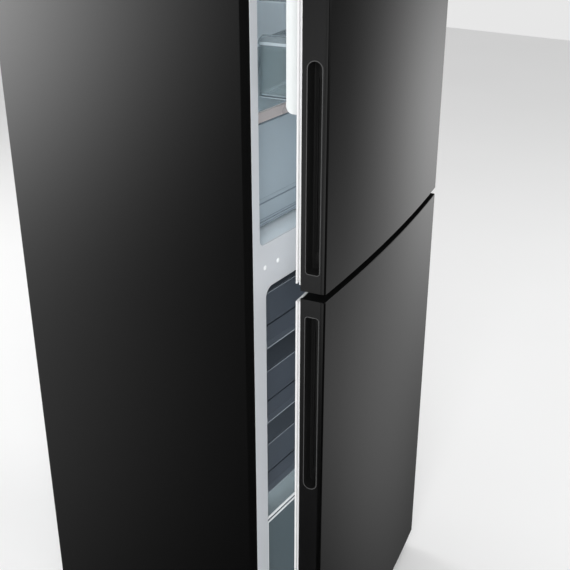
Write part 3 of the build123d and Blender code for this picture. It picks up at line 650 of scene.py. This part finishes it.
# Round the thick rim: distance in, and distance below the bin's top
rim_section = (
    (2, 17),
    (0.6, 16.6),
    (0, 15.8),
    (0, 11.5),
    (0, 1.6),
    (0.4, 0.4),
    (1.2, 0),
    (3.6, 0),
    (4.4, 0.4),
    (4.8, 1.4),
    (4.8, 17),
)
rim_bands = (2, 1, 1, 0, 2, 1, 0, 1, 0, 0, 0)


def bin_ring(low, high, inset, z):
    """A bin's outline at a height, whose part over the walls sinks toward the inner wall."""
    outline = rectangle(
        (low.x + inset * mm, low.y + inset * mm),
        (high.x - inset * mm, high.y - inset * mm),
        (bin_corner - inset) * mm,
        bin_steps,
    )
    rim_low = high.z - bin_rim * mm
    ring = []
    for x, y in outline:
        down = min(1, max(0, (y - high.y) / (bin_slope * mm) + 1))
        sunk = rim_low + (z - rim_low) * (1 - down * bin_slope / bin_rim)
        ring.append(door_point(x, y, sunk if z > rim_low else z))
    return ring


def make_bins():
    """Transparent bins with a thick rim, whose sides slope down to a lower inner wall."""
    walls = bmesh.new()
    rims = bmesh.new()
    for low, high in door_solids("door_bins"):
        up_and_down = [bin_ring(low, high, inset, low.z + rise * mm) for inset, rise in wall_section]
        add_loft(walls, up_and_down, bands=wall_bands)
        around = [bin_ring(low, high, inset, high.z - drop * mm) for inset, drop in rim_section]
        add_loft(rims, around, closed=True, bands=rim_bands)
    settle(add_object("door_bins_moulded", walls), "door_bins", more_looks=bin_highlight_and_shade_lines)
    rim_piece = add_object("door_bins_rims", rims)
    settle(rim_piece, "door_bins", replaced=False, look="clear_rim", more_looks=bin_highlight_and_shade_lines)


make_bins()

# ---------------------------------------------------------------- plugs and screw heads

# From the outside in, in millimetres: each ring's radius and how far it stands out
plug_dome = ((4.4, 0), (4.4, 0.1), (3.9, 0.3), (2.6, 0.45), (1.2, 0.5))
plug_sides = 24
screw_dome = ((4.5, 0), (4.5, 0.3), (3.6, 0.8), (2, 1.05), (0.9, 1.1))
screw_sides = 20


def add_dome(form, x, y, z, outward, dome, sides):
    """A round dome about a point of an upright face, standing out toward -Y or +Y as outward is -1 or 1."""
    rings = []
    for radius, rise in dome:
        ring = []
        for side in range(sides):
            turn = math.tau * side / sides
            across = radius * mm * math.cos(turn)
            up = radius * mm * math.sin(turn)
            ring.append((x + across, y + outward * rise * mm, z + up))
        rings.append(ring)
    add_loft(form, rings)


def make_plugs():
    """Two shallow domes over the holes in the mullion."""
    low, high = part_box("mullion_plugs")
    middle_z = (low.z + high.z) / 2
    reach = (high.z - low.z) / 2
    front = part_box("front_flange")[0].y
    form = bmesh.new()
    for middle_x in (low.x + reach, high.x - reach):
        add_dome(form, middle_x, front, middle_z, -1, plug_dome, plug_sides)
    settle(add_object("mullion_plugs_domed", form), "mullion_plugs", look="plug_white")


make_plugs()

# ---------------------------------------------------------------- the cabinet's back

# Pressed beads on the back sheet: their number, spacing, half width, distance from the sheet's ends, and the
# part of their half width that rounds their ends
bead_count = 5
bead_pitch = 95
bead_half = 7
bead_end = 120
bead_round = 0.9
bead_steps = 5

# Up a bead's side: distance in from its edge, and height off the sheet
bead_section = ((0, 0), (0.6, 0.3), (3, 0.9))

# Screws in two columns on the back sheet, and in two rows on the machine cover: distances from the edges
sheet_screw_rows = 6
sheet_screw_side = 25
sheet_screw_end = 40
cover_screw_side = 12
cover_screw_end = 9


def make_beads():
    """Long upright beads, as pressed into a thin sheet."""
    low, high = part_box("back_panel")
    beads = bmesh.new()
    for bead in range(bead_count):
        middle = (bead - (bead_count - 1) / 2) * bead_pitch * mm
        rings = []
        for inset, rise in bead_section:
            half = bead_half - inset
            low_corner = (middle - half * mm, low.z + (bead_end + inset) * mm)
            high_corner = (middle + half * mm, high.z - (bead_end + inset) * mm)
            outline = rectangle(low_corner, high_corner, bead_round * half * mm, bead_steps)
            rings.append([(x, high.y + rise * mm, z) for x, z in outline])
        add_loft(beads, rings)
    settle(add_object("back_panel_beads", beads), "back_panel", replaced=False)


def make_screws(node_name, places):
    """Screw heads on the back of a node, at places given as x and z."""
    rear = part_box(node_name)[1].y
    screws = bmesh.new()
    for x, z in places:
        add_dome(screws, x, rear, z, 1, screw_dome, screw_sides)
    settle(add_object(f"{node_name}_screws", screws), node_name, replaced=False, look="zinc_steel")


def sheet_screw_places():
    """Down both sides of the back sheet."""
    low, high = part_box("back_panel")
    first = low.z + sheet_screw_end * mm
    span = high.z - low.z - 2 * sheet_screw_end * mm
    for side in (-1, 1):
        for row in range(sheet_screw_rows):
            yield side * (high.x - sheet_screw_side * mm), first + span * row / (sheet_screw_rows - 1)


def cover_screw_places():
    """Along the bottom and the top of the machine cover."""
    low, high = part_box("machine_cover")
    for x in (low.x + cover_screw_side * mm, 0, high.x - cover_screw_side * mm):
        for z in (low.z + cover_screw_end * mm, high.z - cover_screw_end * mm):
            yield x, z


make_beads()
make_screws("back_panel", sheet_screw_places())
make_screws("machine_cover", cover_screw_places())

# ---------------------------------------------------------------- CAD nodes with their edges rounded

bevel_angle = 28
bevel_steps = 2
crisp_angle = 2

# How far behind its front a drawer's tub begins, and how far below its top its groove and lip lie
rear_depth = 20
groove_drop = 63.5
lip_drop = 106.5
band_half = 1.6

# How far below a piece's highest point its top faces may be, and how nearly level they are
cap_depth = 2
cap_level = 0.9


def in_band(point, top, drop):
    """Whether a point is about as far below a drawer's top as a groove or lip across its front."""
    return abs(top - drop * mm - point.z) < band_half * mm


def softened(
    node_name,
    width,
    look=None,
    edge_look=None,
    rear_look=None,
    groove_look=None,
    top_look=None,
    crisp=False,
):
    """Stands for a CAD node, with its sharp edges rounded by a width in millimetres.

    The rounded edges may take a painted highlight or a painted shade line, the faces well behind a drawer's front
    a lighter look as painted light, those in a drawer's groove a darker look as painted shade, and the piece's top
    a look of its own. A drawer's lip takes the same painted highlight as its edges. A crisp piece keeps its
    shallowest folds.
    """
    form = welded(node_name)
    low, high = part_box(node_name)
    weights = form.edges.layers.float.new("bevel_weight_edge")
    for edge in form.edges:
        in_groove = groove_look and all(in_band(vertex.co, high.z, groove_drop) for vertex in edge.verts)
        is_fold = len(edge.link_faces) == 2 and edge.calc_face_angle() > math.radians(bevel_angle)
        edge[weights] = 1 if is_fold and not in_groove else 0
    piece = add_object(f"{node_name}_soft", form, crisp_angle if crisp else fold_angle)
    bevel = piece.modifiers.new("round", "BEVEL")
    bevel.limit_method = "WEIGHT"
    bevel.width = width * mm
    bevel.segments = bevel_steps
    bevel.use_clamp_overlap = True
    normals = piece.modifiers.new("even", "WEIGHTED_NORMAL")
    normals.keep_sharp = crisp

    more_looks = [name for name in (edge_look, rear_look, groove_look, top_look) if name]
    settle(piece, node_name, look=look, more_looks=more_looks)
    place_of = {name: place for place, name in enumerate(more_looks, start=1)}
    # Rounded edges take a painted highlight, or on the crisper a painted shade line
    if edge_look:
        bevel.material = place_of[edge_look]
    for face in piece.data.polygons:
        # Painted light on a drawer's tub behind its front, painted shade in its groove, and a painted highlight on
        # its lip
        if rear_look and face.center.y > low.y + rear_depth * mm:
            face.material_index = place_of[rear_look]
        elif groove_look and in_band(face.center, high.z, groove_drop):
            face.material_index = place_of[groove_look]
        elif groove_look and in_band(face.center, high.z, lip_drop):
            face.material_index = place_of[edge_look]
        elif top_look and face.center.z > high.z - cap_depth * mm and face.normal.z > cap_level:
            face.material_index = place_of[top_look]


# Each node's rounding in millimetres
rounding = {
    "outer_wrap": 0.4,
    "front_flange": 0.6,
    "upper_door_skin": 0.6,
    "lower_door_skin": 0.6,
    "upper_door_surround": 0.6,
    "lower_door_surround": 0.6,
    "upper_door_liner": 1,
    "lower_door_liner": 2,
    "fridge_liner": 0.8,
    "freezer_liner": 0.8,
    "dairy_flap": 0.7,
    "fridge_glass_shelves": 0.6,
    "fridge_shelf_trims": 1.2,
    "crisper_drawer": 0.9,
    "freezer_drawer_1": 0.8,
    "freezer_drawer_2": 0.8,
    "freezer_drawer_3": 0.8,
    "bottom_drawer": 0.8,
    "bottom_drawer_bezel": 0.8,
    "freezer_shelf_glass": 0.6,
    "freezer_shelf_trim": 1.2,
    "drawer_rails": 0.8,
    "hinge_cover": 2,
    "kick_plate": 0.8,
    "base_frame": 0.5,
    "base_pan": 0.4,
    "machine_cover": 0.5,
    "thermostat_housing": 2,
    "thermostat_knob": 0.6,
    "lamp_lens": 1.5,
    "duct_cover": 2,
    "top_hinge": 0.6,
    "middle_hinge": 0.6,
    "bottom_hinge": 0.6,
    "drip_tray": 0.8,
}

# Painted highlights on the edges of the glass and the freezer drawers, and painted shade lines on the crisper's
# edges, stand in for the light and shade in these transparent pieces' edges
painted_edge_lines = {
    "fridge_glass_shelves": "glass_edge_highlight",
    "freezer_shelf_glass": "glass_edge_highlight",
    "crisper_drawer": "crisper_edge_shade",
    "freezer_drawer_1": "drawer_edge_highlight",
    "freezer_drawer_2": "drawer_edge_highlight",
    "freezer_drawer_3": "drawer_edge_highlight",
    "bottom_drawer": "drawer_edge_highlight",
}
# The fridge liner takes its painted cool shade, and the bottom drawer its own panel colour
main_looks = {"fridge_liner": "liner_cool_shade", "bottom_drawer": "bottom_panel"}
for node_name, width in rounding.items():
    is_drawer = node_name.startswith("freezer_drawer")
    softened(
        node_name,
        width,
        look=main_looks.get(node_name),
        edge_look=painted_edge_lines.get(node_name),
        rear_look="drawer_tub_painted_light" if is_drawer else None,
        groove_look="drawer_groove_shade" if is_drawer else None,
        top_look="matt_cap" if node_name == "lower_door_surround" else None,
        crisp=node_name == "outer_wrap",
    )
